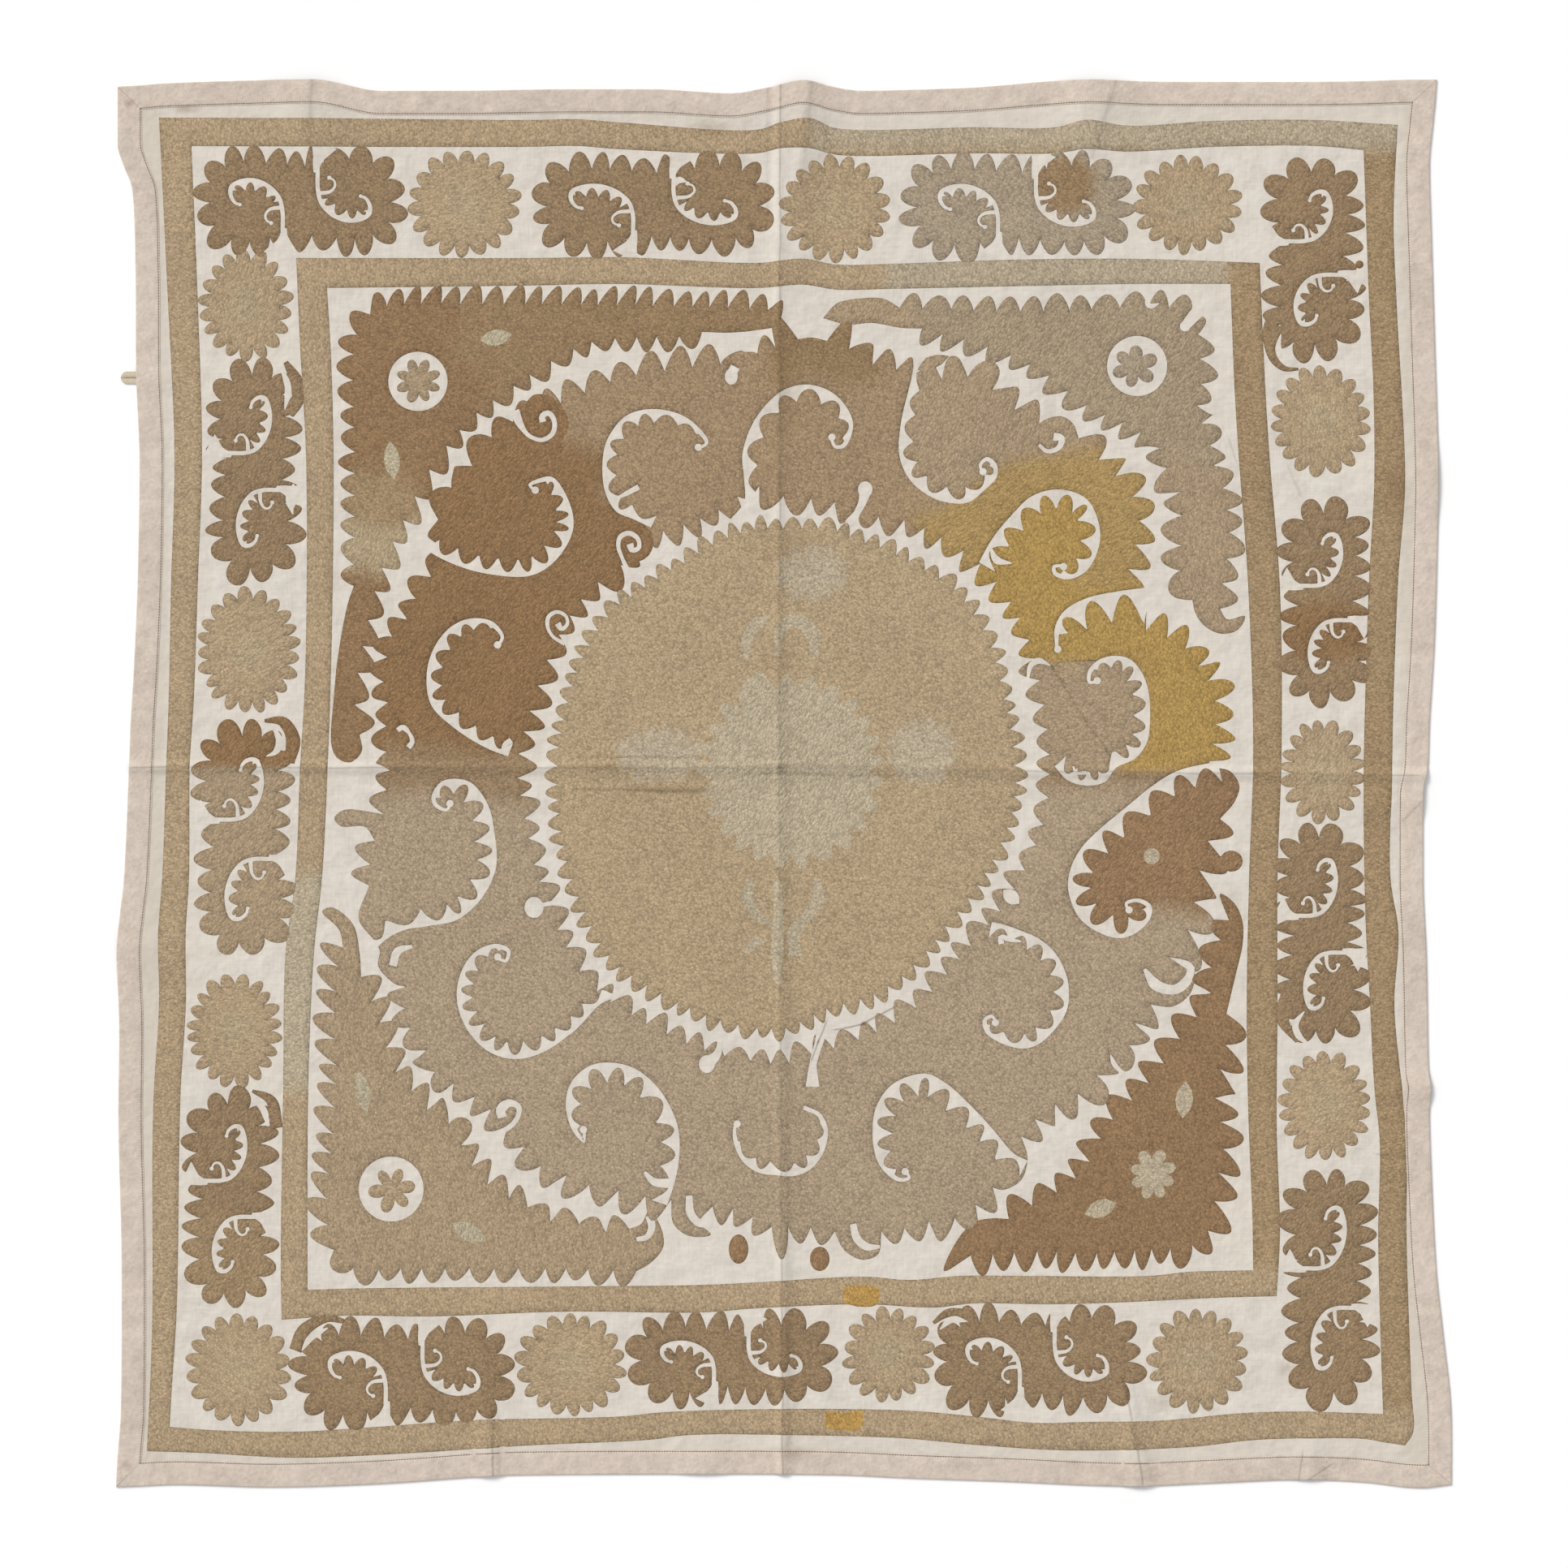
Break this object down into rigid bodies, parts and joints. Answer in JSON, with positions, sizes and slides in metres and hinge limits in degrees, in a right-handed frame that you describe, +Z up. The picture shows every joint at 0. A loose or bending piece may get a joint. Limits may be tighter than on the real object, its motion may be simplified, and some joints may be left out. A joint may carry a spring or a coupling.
{
  "type": "embroidered tablecloth",
  "caption": "Nearly square embroidered cotton tablecloth lying flat, with a plain sewn-on edging and a small hanging loop.",
  "frame": {"origin": "on the surface the cloth lies on, under the middle of its outline", "axes": "+Z up from the surface, +X to the right and +Y to the top of the cloth as the picture shows it"},
  "size_m": [1.6452, 1.735, 0.0097],
  "materials": {
    "ground": "matt woven cotton with embroidery",
    "edging": "matt woven cotton",
    "loop": "matt cotton tape"
  },
  "bodies": {
    "root": {"cloth": "ground", "edging_top": "edging", "edging_bottom": "edging", "edging_left": "edging", "edging_right": "edging", "hanging_loop": "loop"}
  },
  "joints": []
}
